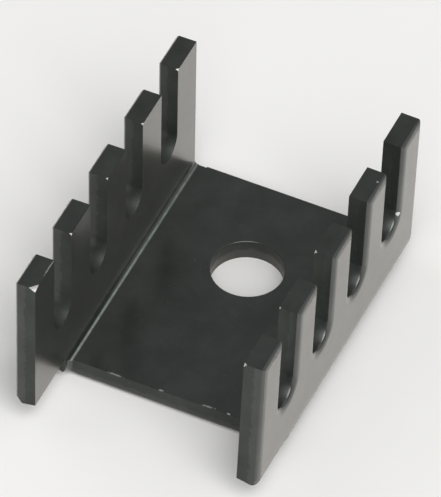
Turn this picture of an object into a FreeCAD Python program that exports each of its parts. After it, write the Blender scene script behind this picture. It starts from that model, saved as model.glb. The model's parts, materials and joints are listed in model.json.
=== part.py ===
import FreeCAD, Part
import os
from math import cos, radians, sin, sqrt, tan

# Transistor heat sink: one aluminium sheet, punched flat and folded into a
# channel. X runs across the channel, Y along its walls from the front, where
# the transistor's leads come out, to the back, and Z up from the underside.
# The origin is on the underside, below the middle of the walls.
# Sizes are in millimetres and degrees.

# Sheet and folds
sheet = 1.15
outside_width = 13.2
wall_height = 9.8
wall_lean = 0.95
inner_bend_radius = 0.25
outer_bend_radius = 1.75

# Fingers and slots, the same in both walls
finger_count = 5
finger_width = 2.2
slot_width = 1.96
slot_depth = 5.5

# Plate, whose front edge stands back from the walls
plate_setback = 3.9
notch_corner_radius = 0.4
tab_drop = 0.25
tab_cut_angle = 12.0

# Screw hole for the transistor's tab
hole_diameter = 3.75
hole_to_back_edge = 5.53

# What the press leaves: the outer edges rolled over by the punch, the lower
# back corners drawn in on the outside of each fold, and a shallow step in the
# back edge where two strokes of the punch meet beside each fold
roll_over = 0.36
hole_roll_over = 0.05
corner_draw = 0.4
corner_draw_radius = 3.0
step_depth = 0.07
step_width = 0.45

# How near two sizes or two directions are when they count as the same
same_size = 1e-6
same_angle = 8.0

# Sizes that follow
pitch = finger_width + slot_width
wall_length = finger_count * finger_width + (finger_count - 1) * slot_width
front = -wall_length / 2
back = wall_length / 2
plate_front = front + plate_setback
hole_y = back - hole_to_back_edge
inner_face = outside_width / 2 - sheet
fold_centre_x = outside_width / 2 - outer_bend_radius
tab_underside = outer_bend_radius - tab_drop
same_direction = cos(radians(same_angle))
overcut = 2.0


def at(x, z, y=front):
    return FreeCAD.Vector(x, y, z)


def wall_section(side):
    """Corner points of one wall and its fold, from the plate's underside out and up to its top side."""
    lean = radians(wall_lean)
    out_x, out_z = cos(lean), -sin(lean)
    up_x, up_z = sin(lean), cos(lean)
    middle = (radians(90) + lean) / 2

    foot_x = fold_centre_x + outer_bend_radius * out_x
    foot_z = outer_bend_radius + outer_bend_radius * out_z
    rise = (wall_height - sheet * sin(lean) - foot_z) / up_z
    top_x = foot_x + rise * up_x
    top_z = foot_z + rise * up_z

    inner_z = sheet + inner_bend_radius
    inner_x = foot_x + ((inner_z - foot_z) * sin(lean) - inner_z) / cos(lean)

    outer_mid = (fold_centre_x + outer_bend_radius * cos(middle),
                 outer_bend_radius - outer_bend_radius * sin(middle))
    inner_mid = (inner_x + inner_bend_radius * cos(middle),
                 inner_z - inner_bend_radius * sin(middle))
    points = {
        "outer_start": (fold_centre_x, 0),
        "outer_mid": outer_mid,
        "outer_end": (foot_x, foot_z),
        "outer_top": (top_x, top_z),
        "inner_top": (top_x - sheet * out_x, top_z - sheet * out_z),
        "inner_end": (inner_x + inner_bend_radius * out_x, inner_z + inner_bend_radius * out_z),
        "inner_mid": inner_mid,
        "inner_start": (inner_x, sheet),
    }
    return {name: at(side * x, z) for name, (x, z) in points.items()}


def folded_channel():
    """The folded section, run along the whole length of the walls."""
    edges = []
    sections = {side: wall_section(side) for side in (-1, 1)}
    for p in sections.values():
        edges += [
            Part.Arc(p["outer_start"], p["outer_mid"], p["outer_end"]).toShape(),
            Part.makeLine(p["outer_end"], p["outer_top"]),
            Part.makeLine(p["outer_top"], p["inner_top"]),
            Part.makeLine(p["inner_top"], p["inner_end"]),
            Part.Arc(p["inner_end"], p["inner_mid"], p["inner_start"]).toShape(),
        ]
    for level in ("outer_start", "inner_start"):
        edges.append(Part.makeLine(sections[-1][level], sections[1][level]))
    section = Part.Wire(Part.__sortEdges__(edges))
    return Part.Face(section).extrude(FreeCAD.Vector(0, wall_length, 0))


def slot(index):
    """One open-topped slot with a round bottom, cut through both walls at once."""
    half_width = slot_width / 2
    y = front + finger_width + half_width + index * pitch
    bottom = wall_height - slot_depth
    reach = outside_width + 2 * overcut
    round_z = bottom + half_width
    top = wall_height + overcut
    x = -reach / 2
    outline = Part.Wire([
        Part.makeLine(at(x, top, y - half_width), at(x, round_z, y - half_width)),
        Part.Arc(at(x, round_z, y - half_width), at(x, bottom, y), at(x, round_z, y + half_width)).toShape(),
        Part.makeLine(at(x, round_z, y + half_width), at(x, top, y + half_width)),
        Part.makeLine(at(x, top, y + half_width), at(x, top, y - half_width)),
    ])
    return Part.Face(outline).extrude(FreeCAD.Vector(reach, 0, 0))


def plate_notch():
    """What is punched away in front of the plate, between the walls, with round corners at their feet."""
    start = front - overcut
    top = max(tab_underside, sheet + inner_bend_radius)
    blank = Part.makeBox(2 * inner_face, plate_front - start, top + overcut, at(-inner_face, -overcut, start))
    corners = [edge for edge in blank.Edges
               if all(abs(v.Y - plate_front) < same_size for v in edge.Vertexes)
               and abs(edge.Vertexes[0].X - edge.Vertexes[-1].X) < same_size]
    return blank.makeFillet(notch_corner_radius, corners)


def tab_cut(side):
    """What is punched away below one wall's front end, at a right angle to the sheet as it was flat."""
    start = front - overcut
    length = plate_front - notch_corner_radius - start
    outer_x = outside_width / 2 + overcut
    outer_z = tab_underside - (outer_x - inner_face) * tan(radians(tab_cut_angle))
    corners = [at(side * x, z, start) for x, z in
               ((inner_face, -overcut), (inner_face, tab_underside), (outer_x, outer_z), (outer_x, -overcut))]
    return Part.Face(Part.makePolygon(corners + corners[:1])).extrude(FreeCAD.Vector(0, length, 0))


def drawn_corner(side):
    """A shallow cone that takes the outside of one fold back at its rear end."""
    outward = FreeCAD.Vector(side * sqrt(0.5), 0, -sqrt(0.5))
    flare = corner_draw / sheet
    near = outer_bend_radius - sheet
    far = outer_bend_radius + overcut
    centre = FreeCAD.Vector(side * fold_centre_x, back + corner_draw_radius - corner_draw, outer_bend_radius)
    near_radius = corner_draw_radius - corner_draw
    far_radius = near_radius + flare * (far - near)
    return Part.makeCone(near_radius, far_radius, far - near, centre + outward * near, outward)


def back_step(side):
    """A shallow step in the plate's back edge, beside one fold."""
    outer_x = inner_face - inner_bend_radius
    near_x = min(side * outer_x, side * (outer_x - step_width))
    return Part.makeBox(step_width, step_depth + overcut, sheet + 2 * overcut,
                        at(near_x, -overcut, back - step_depth))


def is_outer(face):
    """True for the faces that were the punch side of the flat sheet: walls, folds and underside."""
    u0, u1, v0, v1 = face.ParameterRange
    normal = face.normalAt((u0 + u1) / 2, (v0 + v1) / 2)
    middle = face.valueAt((u0 + u1) / 2, (v0 + v1) / 2)
    outwards = normal.x * middle.x > 0 and abs(normal.y) < same_size
    if isinstance(face.Surface, Part.Plane):
        underside = normal.z < -same_direction and middle.z < same_size
        return underside or outwards and abs(normal.x) > same_direction
    return outwards and abs(face.Surface.Radius - outer_bend_radius) < same_size


def rolled_edges(body):
    """The sheared edges on the punch side, apart from the screw hole's."""
    outer = [face for face in body.Faces if is_outer(face)]
    seen = {}
    for face in outer:
        for edge in face.Edges:
            seen.setdefault(edge.hashCode(), []).append(edge)
    loose = [edges[0] for edges in seen.values() if len(edges) == 1]
    return [edge for edge in loose if not is_hole_rim(edge)]


def is_hole_rim(edge):
    return (isinstance(edge.Curve, Part.Circle) and abs(edge.Curve.Axis.z) > same_direction
            and abs(edge.Curve.Radius - hole_diameter / 2) < same_size)


def heat_sink():
    body = folded_channel()
    for index in range(finger_count - 1):
        body = body.cut(slot(index))
    body = body.cut(plate_notch())
    for side in (-1, 1):
        body = body.cut(tab_cut(side))
    body = body.cut(Part.makeCylinder(hole_diameter / 2, sheet + 2 * overcut, at(0, -overcut, hole_y)))
    body = body.removeSplitter()
    body = body.makeFillet(roll_over, rolled_edges(body))
    rims = [edge for edge in body.Edges if is_hole_rim(edge) and edge.Vertexes[0].Z > sheet / 2]
    body = body.makeFillet(hole_roll_over, rims)
    for side in (-1, 1):
        body = body.cut(drawn_corner(side)).cut(back_step(side))
    return body.Solids[0]


os.makedirs("parts", exist_ok=True)
part = heat_sink()
part.exportStep("parts/heat_sink.step")
box = part.BoundBox
print("heat_sink", "valid", part.isValid(), "volume", round(part.Volume, 3), "mm3")
print("box", [round(v, 3) for v in (box.XMin, box.YMin, box.ZMin, box.XMax, box.YMax, box.ZMax)])
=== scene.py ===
import bpy
import json
from math import cos, hypot, radians, sin, tan
from mathutils import Matrix, Vector

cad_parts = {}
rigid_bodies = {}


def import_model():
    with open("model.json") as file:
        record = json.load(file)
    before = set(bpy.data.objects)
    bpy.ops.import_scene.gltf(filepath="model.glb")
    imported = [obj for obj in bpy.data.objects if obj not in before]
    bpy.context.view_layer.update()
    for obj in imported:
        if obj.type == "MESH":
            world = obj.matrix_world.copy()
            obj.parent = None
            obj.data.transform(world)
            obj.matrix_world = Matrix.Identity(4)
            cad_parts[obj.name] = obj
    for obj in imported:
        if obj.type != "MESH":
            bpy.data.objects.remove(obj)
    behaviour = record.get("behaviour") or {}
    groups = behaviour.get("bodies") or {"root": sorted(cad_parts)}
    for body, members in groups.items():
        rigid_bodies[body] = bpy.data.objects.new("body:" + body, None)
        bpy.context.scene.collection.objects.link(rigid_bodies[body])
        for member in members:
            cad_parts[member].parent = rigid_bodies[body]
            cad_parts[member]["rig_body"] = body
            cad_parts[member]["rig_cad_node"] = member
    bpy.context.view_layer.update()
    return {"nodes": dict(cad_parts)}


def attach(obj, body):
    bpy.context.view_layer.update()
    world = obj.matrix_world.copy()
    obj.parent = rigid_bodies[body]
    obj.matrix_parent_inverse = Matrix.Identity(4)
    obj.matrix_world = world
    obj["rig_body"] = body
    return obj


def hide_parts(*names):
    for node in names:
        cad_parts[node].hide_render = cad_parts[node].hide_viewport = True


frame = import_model()


# Folded sheet
# One piece of 1.15 mm aluminium, punched flat and folded up twice. The punch leaves the edges of the
# inner side sharp, and barrel finishing breaks them to about 0.04 mm. Knocks have taken some
# corners off.
mm = 0.001
sheet = 1.15 * mm
front_y = -9.42 * mm
top_z = 9.8 * mm
finger_count = 5
finger_pitch = 4.16 * mm
finger_width = 2.2 * mm
slot_radius = 0.98 * mm
slot_round_z = 5.28 * mm
wall_lean = radians(0.95)
outer_foot = Vector((6.6, 0, 1.72)) * mm
inner_corner_x = 5.589 * mm
fold_top = 1.75 * mm
plate_front = -5.52 * mm
tab_end = plate_front - 0.5 * mm
tab_level = 1.0 * mm
hole_y = 3.89 * mm
hole_radius = 1.875 * mm
hole_rim = hole_radius + 0.01 * mm
broken_edge = 0.04 * mm
finger_sides = [front_y + finger * finger_pitch + edge
                for finger in range(finger_count) for edge in (0, finger_width)]
slot_centres = [front_y + finger * finger_pitch + (finger_pitch + finger_width) / 2
                for finger in range(finger_count - 1)]

# The frame has the roll-over as a round of one radius, this deep. On the walls it is shallower, and
# runs out further along their outer faces.
roll_depth = 0.36 * mm
shallow_roll_depth = 0.21 * mm
roll_reach = 0.42 * mm
roll_band = 1.02 * roll_depth
roll_from_z = 1.55 * mm
roll_full_z = 1.7 * mm

# The mesh: how near two points are when they are one, how far off a measure may be, and which angles
# count as flat, smooth and sharp
same_point = 0.0005 * mm
slack = 0.001 * mm
flat_angle = radians(0.5)
smooth_angle = radians(30)
sharp_angle = radians(40)

# How much of a face's normal lies along an axis that the face looks along squarely, partly and hardly
squarely, partly, hardly = 0.9, 0.5, 0.1

# How far a knock took off each finger's inner top front corner: along X, Y and Z in mm, counted from
# the front finger
knocks = {
    (-1, 0): (0.36, 0.4, 0.18),
    (-1, 1): (0.12, 0.08, 0.12),
    (-1, 2): (0.08, 0.1, 0.1),
    (-1, 3): (0.1, 0.1, 0.12),
    (-1, 4): (0.14, 0.12, 0.1),
    (1, 0): (0.16, 0.12, 0.2),
    (1, 1): (0.1, 0.08, 0.1),
    (1, 2): (0.14, 0.14, 0.14),
}
SKIN, EDGE, SHEARED, TORN = range(4)


def only(piece):
    """Selects one object and makes it the one that operators act on."""
    bpy.ops.object.select_all(action="DESELECT")
    piece.select_set(True)
    bpy.context.view_layer.objects.active = piece


def knock_off(piece, corner, reach):
    """Takes a corner off a piece, by the reach along each of the three edges that meet there."""
    vertices = piece.data.vertices
    nearest = min(vertices, key=lambda vertex: (vertex.co - corner).length).index
    for chosen in (piece.data.polygons, piece.data.edges, vertices):
        chosen.foreach_set("select", [False] * len(chosen))
    vertices[nearest].select = True
    bpy.ops.object.mode_set(mode="EDIT")
    bpy.ops.mesh.select_mode(type="VERT")
    bpy.ops.mesh.bevel(offset=min(reach), segments=1, affect="VERTICES")
    bpy.ops.object.mode_set(mode="OBJECT")
    cut = sorted(piece.data.vertices, key=lambda vertex: (vertex.co - corner).length)[:3]
    for vertex in cut:
        along = (vertex.co - corner).normalized()
        axis = max(range(3), key=lambda i: abs(along[i]))
        vertex.co = corner + along * reach[axis]
    ends = {vertex.index for vertex in cut}
    for face in piece.data.polygons:
        if set(face.vertices) == ends:
            face.material_index = TORN


def run_out(place):
    """Where a point of a wall's rolled outer edge goes, to make the roll-over shallower and longer."""
    side, y, z = (1 if place.x > 0 else -1), place.y, place.z
    depth = outer_foot.x + (z - outer_foot.z) * tan(wall_lean) - abs(place.x)
    amount = min(max((z - roll_from_z) / (roll_full_z - roll_from_z), 0), 1)
    if depth > roll_band or not amount:
        return place
    stretch = 1 + (roll_reach / roll_depth - 1) * amount
    top = top_z - (sheet - depth) * sin(wall_lean)
    beside_slots = z >= slot_round_z - slack
    ends = finger_sides if beside_slots else (front_y, -front_y)
    nearest = min(ends, key=lambda end: abs(y - end))
    new_y, new_z = y, z
    if abs(y - nearest) < roll_band:
        new_y = nearest + (y - nearest) * stretch
    if top - z < roll_band:
        new_z = top - (top - z) * stretch
    if not beside_slots:
        for centre_y in slot_centres:
            away = hypot(y - centre_y, z - slot_round_z)
            if away - slot_radius < roll_band:
                grown = (slot_radius + (away - slot_radius) * stretch) / away
                new_y = centre_y + (y - centre_y) * grown
                new_z = slot_round_z + (z - slot_round_z) * grown
    outwards = depth * (1 - shallow_roll_depth / roll_depth) * amount
    return Vector((place.x + side * (outwards + (new_z - z) * tan(wall_lean)), new_y, new_z))


def is_sheared(face):
    """True for a face that the punch cut through the sheet, not one that was the sheet's own skin."""
    x, y, z = face.center
    side, along, up = (abs(part) for part in face.normal)
    if z > fold_top:
        return side < hardly
    in_hole = hypot(x, y - hole_y) < hole_rim and up < partly
    under_tab = y < tab_end and z > tab_level and up > squarely
    return along > squarely or in_hole or under_tab


only(frame["nodes"]["heat_sink"])
bpy.ops.object.duplicate()
sink = bpy.context.object
sink.name = "folded_sheet"
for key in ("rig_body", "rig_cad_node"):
    if key in sink:
        del sink[key]
bpy.ops.object.mode_set(mode="EDIT")
bpy.ops.mesh.select_all(action="SELECT")
bpy.ops.mesh.remove_doubles(threshold=same_point)
bpy.ops.mesh.dissolve_limited(angle_limit=flat_angle)
bpy.ops.object.mode_set(mode="OBJECT")
for vertex in sink.data.vertices:
    vertex.co = run_out(vertex.co)
sink.data.materials.clear()
for name in ("black_anodised_aluminium", "worn_anodised_edge",
             "anodised_sheared_edge", "torn_aluminium"):
    sink.data.materials.append(bpy.data.materials.new(name))
for face in sink.data.polygons:
    face.material_index = SHEARED if is_sheared(face) else SKIN
for (side, finger), reach in knocks.items():
    corner = Vector((side * inner_corner_x, front_y + finger * finger_pitch, top_z))
    knock_off(sink, corner, [part * mm for part in reach])

bevel = sink.modifiers.new("broken_edges", "BEVEL")
bevel.width = broken_edge
bevel.segments = 2
bevel.limit_method = "ANGLE"
bevel.angle_limit = sharp_angle
bevel.material = EDGE
bpy.ops.object.modifier_apply(modifier="broken_edges")
bpy.ops.object.shade_smooth_by_angle(angle=smooth_angle)
flat = sink.modifiers.new("flat_faces", "WEIGHTED_NORMAL")
flat.weight = 100
flat.keep_sharp = True
bpy.ops.object.modifier_apply(modifier="flat_faces")

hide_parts("heat_sink")
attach(sink, "root")


# Finish of the folded sheet: black anodised aluminium
# The sheet's own skin is turned to a hard clear oxide and dyed black. It is satin: nearly black
# where it is looked at squarely, with a soft mirror of the table at a low angle. The dye is a little
# cloudy and has a green cast. A patchy grey line is painted along the inside of each fold as a
# painted highlight of the fold's inner round, and the coat is made thinner there.
dye_dark = "#262b29"
dye_light = "#3a403d"
dust_grey = "#77766f"
# Grey of the painted highlight along the inside of each fold
highlight_grey = "#8a948e"
bare_metal = "#dcdddb"
dye_cloud = 1.6 * mm
dye_mottle = 0.35 * mm
skin_grain = 0.07 * mm
dust_speck = 0.17 * mm
chip_grain = 0.1 * mm
grain_height = 0.01 * mm
inner_foot_x = 5.42 * mm
torn_edge = 0.05 * mm
torn_wander = 0.5 * mm
fold_line = Vector((5.27, 0, 1.165)) * mm
# Where the painted fold highlight is at full strength, and where it has faded out
highlight_full_width = 0.02 * mm
highlight_fade_width = 0.09 * mm

# Places where the finish is worn: the middle and the half length along X, Y and Z, in mm, and how far
# it is worn, where 1 is down to the metal
worn_spots = (
    ((-2.9, -5.5, 1.15), (0.42, 0.05, 0.05), 0.35),
    ((-0.4, -5.46, 1.15), (0.13, 0.06, 0.05), 0.5),
    ((2.12, -5.44, 1.15), (0.36, 0.06, 0.05), 0.4),
    ((3.2, -5.45, 1.15), (0.09, 0.06, 0.05), 0.7),
    ((-5.6, -7.8, 9.8), (0.06, 0.6, 0.05), 0.3),
    ((5.65, -2.96, 9.8), (0.1, 0.08, 0.08), 0.8),
    ((6.44, 4.57, 9.8), (0.07, 0.07, 0.07), 0.45),
    ((6.58, 7.25, 5.0), (0.15, 0.15, 0.14), 1.0),
)


def linear(hex_colour):
    """An sRGB hex colour as linear red, green, blue and alpha."""
    channels = [int(hex_colour[i:i + 2], 16) / 255 for i in (1, 3, 5)]
    return [c / 12.92 if c <= 0.04045 else ((c + 0.055) / 1.055) ** 2.4 for c in channels] + [1.0]


def add(tree, kind, inputs=None, **settings):
    """Adds a node. Each input is set, or linked to a socket or to a node's first output in use."""
    made = tree.nodes.new(kind)
    for name, value in settings.items():
        setattr(made, name, value)
    for name, value in (inputs or {}).items():
        in_use = [socket for socket in made.inputs if socket.enabled]
        socket = in_use[name] if isinstance(name, int) else next(s for s in in_use if s.name == name)
        if isinstance(value, bpy.types.Node):
            value = next(output for output in value.outputs if output.enabled)
        if isinstance(value, bpy.types.NodeSocket):
            tree.links.new(value, socket)
        else:
            socket.default_value = value
    return made


def wear(tree, place, chips, chips_above):
    """How far the finish is worn: wholly in small chips, and partly in spots with a ragged outline."""
    worn = add(tree, "ShaderNodeMapRange", {"Value": chips, "From Min": chips_above,
                                            "From Max": chips_above + 0.03})
    ragged = add(tree, "ShaderNodeMapRange", {"Value": chips, "From Min": 0.3, "From Max": 0.7,
                                              "To Min": 1.5, "To Max": 0.6})
    for middle, reach, share_worn in worn_spots:
        away = add(tree, "ShaderNodeVectorMath", {0: place, 1: Vector(middle) * mm},
                   operation="SUBTRACT")
        share = add(tree, "ShaderNodeVectorMath", {0: away, 1: Vector(reach) * mm}, operation="DIVIDE")
        length = add(tree, "ShaderNodeVectorMath", {0: share}, operation="LENGTH")
        uneven = add(tree, "ShaderNodeMath", {0: length, 1: ragged}, operation="MULTIPLY")
        spot = add(tree, "ShaderNodeMapRange", {"Value": uneven, "From Min": 0.8, "From Max": 1.0,
                                                "To Min": share_worn, "To Max": 0.0})
        worn = add(tree, "ShaderNodeMath", {0: worn, 1: spot}, operation="MAXIMUM")
    return worn


def tearing(tree, place, both_sides, mottle, torn_share):
    """One where the punch tore its cut, on the inner share of the sheet, and zero elsewhere."""
    height = add(tree, "ShaderNodeSeparateXYZ", {"Vector": place}).outputs["Z"]
    across = add(tree, "ShaderNodeVectorMath", {0: both_sides, 1: (1, 0, -tan(wall_lean))},
                 operation="DOT_PRODUCT")
    in_wall = add(tree, "ShaderNodeMath", {0: across, 1: inner_foot_x}, operation="SUBTRACT")
    in_plate = add(tree, "ShaderNodeMath", {0: sheet, 1: height}, operation="SUBTRACT")
    depth = add(tree, "ShaderNodeMath", {0: in_wall, 1: in_plate}, operation="MAXIMUM")
    wander = add(tree, "ShaderNodeMath", {0: mottle, 1: torn_wander, 2: depth}, operation="MULTIPLY_ADD")
    torn_depth = torn_share * sheet + torn_wander / 2
    return add(tree, "ShaderNodeMapRange", {
        "Value": wander, "From Min": torn_depth - torn_edge, "From Max": torn_depth + torn_edge,
        "To Min": 1.0 if torn_share else 0.0, "To Max": 0.0})


def anodised(material, roughness, coat, coat_roughness, chips_above, torn_share):
    """Dyed black anodising over the sheet's skin, or over a cut that is torn on its inner share."""
    material.use_nodes = True
    tree = material.node_tree
    tree.nodes.clear()
    place = add(tree, "ShaderNodeTexCoord").outputs["Object"]
    both_sides = add(tree, "ShaderNodeVectorMath", {0: place}, operation="ABSOLUTE")
    cloud = add(tree, "ShaderNodeTexNoise", {"Vector": place, "Scale": 1 / dye_cloud, "Detail": 4.0})
    mottle = add(tree, "ShaderNodeTexNoise", {"Vector": place, "Scale": 1 / dye_mottle, "Detail": 3.0})
    grain = add(tree, "ShaderNodeTexNoise", {"Vector": place, "Scale": 1 / skin_grain, "Detail": 3.0})
    specks = add(tree, "ShaderNodeTexNoise", {"Vector": place, "Scale": 1 / dust_speck})
    chips = add(tree, "ShaderNodeTexNoise", {"Vector": place, "Scale": 1 / chip_grain})

    # The dye, in clouds with a finer mottle, and dust in its pores
    clouds = add(tree, "ShaderNodeMapRange", {"Value": cloud, "From Min": 0.3, "From Max": 0.7,
                                              "To Min": 0.2})
    mottled = add(tree, "ShaderNodeMapRange", {"Value": mottle, "From Min": 0.3, "From Max": 0.7,
                                               "To Min": 0.86})
    tone = add(tree, "ShaderNodeMath", {0: clouds, 1: mottled}, operation="MULTIPLY")
    dyed = add(tree, "ShaderNodeMix", {"Factor": tone, "A": linear(dye_dark), "B": linear(dye_light)},
               data_type="RGBA")
    dust = add(tree, "ShaderNodeMapRange", {"Value": specks, "From Min": 0.72, "From Max": 0.77,
                                            "To Max": 0.35})
    dusty = add(tree, "ShaderNodeMix", {"Factor": dust, "A": dyed, "B": linear(dust_grey)},
                data_type="RGBA")

    # Painted highlight: a patchy grey line along the inside of each fold, measured square to it
    section = add(tree, "ShaderNodeVectorMath", {0: both_sides, 1: (1, 0, 1)}, operation="MULTIPLY")
    off_line = add(tree, "ShaderNodeVectorMath", {0: section, 1: fold_line}, operation="DISTANCE")
    near_line = add(tree, "ShaderNodeMapRange", {"Value": off_line, "From Min": highlight_full_width,
                                                 "From Max": highlight_fade_width, "To Min": 1.0, "To Max": 0.0})
    patchy = add(tree, "ShaderNodeMapRange", {"Value": mottle, "From Min": 0.3, "From Max": 0.6,
                                              "To Min": 0.5, "To Max": 0.9})
    painted_highlight = add(tree, "ShaderNodeMath", {0: near_line, 1: patchy}, operation="MULTIPLY")
    greyed = add(tree, "ShaderNodeMix", {"Factor": painted_highlight, "A": dusty, "B": linear(highlight_grey)},
                 data_type="RGBA")

    # Bare metal where the finish is worn
    worn = wear(tree, place, chips, chips_above)
    colour = add(tree, "ShaderNodeMix", {"Factor": worn, "A": greyed, "B": linear(bare_metal)},
                 data_type="RGBA")

    # The torn part of a cut is duller and coarser than the shaved part
    torn = tearing(tree, place, both_sides, mottle, torn_share)
    # The painted fold highlight also thins the coat and roughens the finish, as wear does
    bare = add(tree, "ShaderNodeMath", {0: painted_highlight, 1: worn}, operation="MAXIMUM")
    satin = add(tree, "ShaderNodeMapRange", {"Value": grain, "From Min": 0.2, "From Max": 0.8,
                                             "To Min": roughness[0], "To Max": roughness[1]})
    dulled = add(tree, "ShaderNodeMath", {0: torn, 1: 0.2, 2: satin}, operation="MULTIPLY_ADD")
    bare_rough = add(tree, "ShaderNodeMath", {0: bare, 1: 0.5}, operation="MULTIPLY")
    rough = add(tree, "ShaderNodeMath", {0: dulled, 1: bare_rough}, operation="MAXIMUM")
    metal = add(tree, "ShaderNodeMapRange", {"Value": bare, "To Min": 0.6, "To Max": 0.4})
    clear = add(tree, "ShaderNodeMapRange", {"Value": bare, "To Min": coat, "To Max": 0.0})
    torn_clear = add(tree, "ShaderNodeMapRange", {"Value": torn, "To Min": 1.0, "To Max": 0.65})
    gloss = add(tree, "ShaderNodeMath", {0: clear, 1: torn_clear}, operation="MULTIPLY")
    coarse = add(tree, "ShaderNodeMapRange", {"Value": torn, "To Min": 1.0, "To Max": 3.0})
    relief = add(tree, "ShaderNodeMath", {0: grain, 1: coarse}, operation="MULTIPLY")
    bump = add(tree, "ShaderNodeBump", {"Height": relief, "Strength": 0.03, "Distance": grain_height})
    shader = add(tree, "ShaderNodeBsdfPrincipled", {
        "Base Color": colour, "Metallic": metal, "Roughness": rough, "Normal": bump,
        "Specular Tint": linear("#fff3e6"), "Coat Weight": gloss, "Coat Roughness": coat_roughness,
        "Coat IOR": 1.65, "Coat Normal": bump})
    add(tree, "ShaderNodeOutputMaterial", {"Surface": shader})


anodised(sink.data.materials[SKIN], roughness=(0.3, 0.36), coat=0.93, coat_roughness=0.22,
         chips_above=0.84, torn_share=0.0)
anodised(sink.data.materials[EDGE], roughness=(0.3, 0.45), coat=0.5, coat_roughness=0.3,
         chips_above=0.64, torn_share=0.0)


# Sheared edges: anodised over a cut that is half smooth and half torn
# The punch first shaves the outer part of the sheet's thickness smooth, then the rest tears off and
# stays rough and dull. Both are anodised with the rest.
anodised(sink.data.materials[SHEARED], roughness=(0.4, 0.54), coat=0.45, coat_roughness=0.42,
         chips_above=0.84, torn_share=0.5)


# Knocked corners: torn bare aluminium
# Where a corner was knocked off after anodising, the metal is bright and rough.
torn_colour = "#c9c6c3"
torn_grain = 0.1 * mm
torn_height = 0.02 * mm

knocked = sink.data.materials[TORN]
knocked.use_nodes = True
knocked.node_tree.nodes.clear()
on_sheet = add(knocked.node_tree, "ShaderNodeTexCoord").outputs["Object"]
tears = add(knocked.node_tree, "ShaderNodeTexNoise",
            {"Vector": on_sheet, "Scale": 1 / torn_grain, "Detail": 3.0})
torn_relief = add(knocked.node_tree, "ShaderNodeBump",
                  {"Height": tears, "Strength": 0.5, "Distance": torn_height})
fresh_metal = add(knocked.node_tree, "ShaderNodeBsdfPrincipled", {
    "Base Color": linear(torn_colour), "Metallic": 0.5, "Roughness": 0.5, "Normal": torn_relief})
add(knocked.node_tree, "ShaderNodeOutputMaterial", {"Surface": fresh_metal})


# Table
# A plain pale matt surface under the object, which takes its soft shadow.
table_colour = "#efeeec"
table_size = 3.0

bpy.ops.mesh.primitive_plane_add(size=table_size)
table = bpy.context.object
table.name = "table"
paper = bpy.data.materials.new("pale_table")
paper.use_nodes = True
paper.node_tree.nodes.clear()
matt = add(paper.node_tree, "ShaderNodeBsdfDiffuse", {"Color": linear(table_colour)})
add(paper.node_tree, "ShaderNodeOutputMaterial", {"Surface": matt})
table.data.materials.append(paper)


# Room
# Nearly as pale as the table at the horizon, and dim above, since the plate mirrors what is behind and
# above the object. A large soft lamp above the front right, near the camera, gives nearly all the
# light, and two weak ones on the left and behind on the right lighten the shadows.
room_colour = "#f0f1f2"
horizon_strength = 0.73
ceiling_strength = 0.295
horizon_up_to, ceiling_from = 0.05, 0.2

world = bpy.data.worlds.new("room")
bpy.context.scene.world = world
world.use_nodes = True
world.node_tree.nodes.clear()
looking = add(world.node_tree, "ShaderNodeTexCoord").outputs["Generated"]
upwards = add(world.node_tree, "ShaderNodeSeparateXYZ", {"Vector": looking}).outputs["Z"]
strength = add(world.node_tree, "ShaderNodeMapRange", {
    "Value": upwards, "From Min": horizon_up_to, "From Max": ceiling_from,
    "To Min": horizon_strength, "To Max": ceiling_strength})
room = add(world.node_tree, "ShaderNodeBackground", {"Color": linear(room_colour), "Strength": strength})
add(world.node_tree, "ShaderNodeOutputWorld", {"Surface": room})


def soft_lamp(name, place, size, watts):
    """A square soft lamp that faces the object."""
    data = bpy.data.lights.new(name, "AREA")
    data.size = size
    data.energy = watts
    lamp = bpy.data.objects.new(name, data)
    bpy.context.scene.collection.objects.link(lamp)
    lamp.location = place
    lamp.rotation_mode = "QUATERNION"
    lamp.rotation_quaternion = Vector(place).to_track_quat("Z", "Y")


soft_lamp("front_lamp", (0.212, -0.271, 0.491), size=0.5, watts=3.5)
soft_lamp("left_lamp", (-0.491, 0.0, 0.344), size=0.5, watts=0.52)
soft_lamp("back_lamp", (0.3, 0.3, 0.424), size=0.5, watts=0.37)


# Camera
# A long lens from the front right and above, held almost level.
image_width, image_height = 441, 497
pixels_per_mm = 20.169
camera_azimuth = radians(22.882)
camera_elevation = radians(46.730)
camera_roll = radians(-2.326)
camera_distance = 517.4 * mm
target = Vector((0, 0, 3.1 * mm))
target_pixel = (216.20, 293.46)

back = Vector((sin(camera_azimuth) * cos(camera_elevation), -cos(camera_azimuth) * cos(camera_elevation),
               sin(camera_elevation)))
level_right = (-back).cross(Vector((0, 0, 1))).normalized()
level_down = (-back).cross(level_right)
right = cos(camera_roll) * level_right + sin(camera_roll) * level_down
down = -sin(camera_roll) * level_right + cos(camera_roll) * level_down
move_right = (image_width / 2 - target_pixel[0]) / pixels_per_mm * mm
move_down = (image_height / 2 - target_pixel[1]) / pixels_per_mm * mm

lens = bpy.data.cameras.new("camera")
lens.sensor_width = 36.0
lens.lens = pixels_per_mm / mm * camera_distance * lens.sensor_width / max(image_width, image_height)
camera = bpy.data.objects.new("camera", lens)
bpy.context.scene.collection.objects.link(camera)
eye = target + back * camera_distance + right * move_right + down * move_down
camera.matrix_world = Matrix.Translation(eye) @ Matrix((right, -down, back)).transposed().to_4x4()
bpy.context.scene.camera = camera
bpy.context.scene.view_settings.view_transform = "Standard"
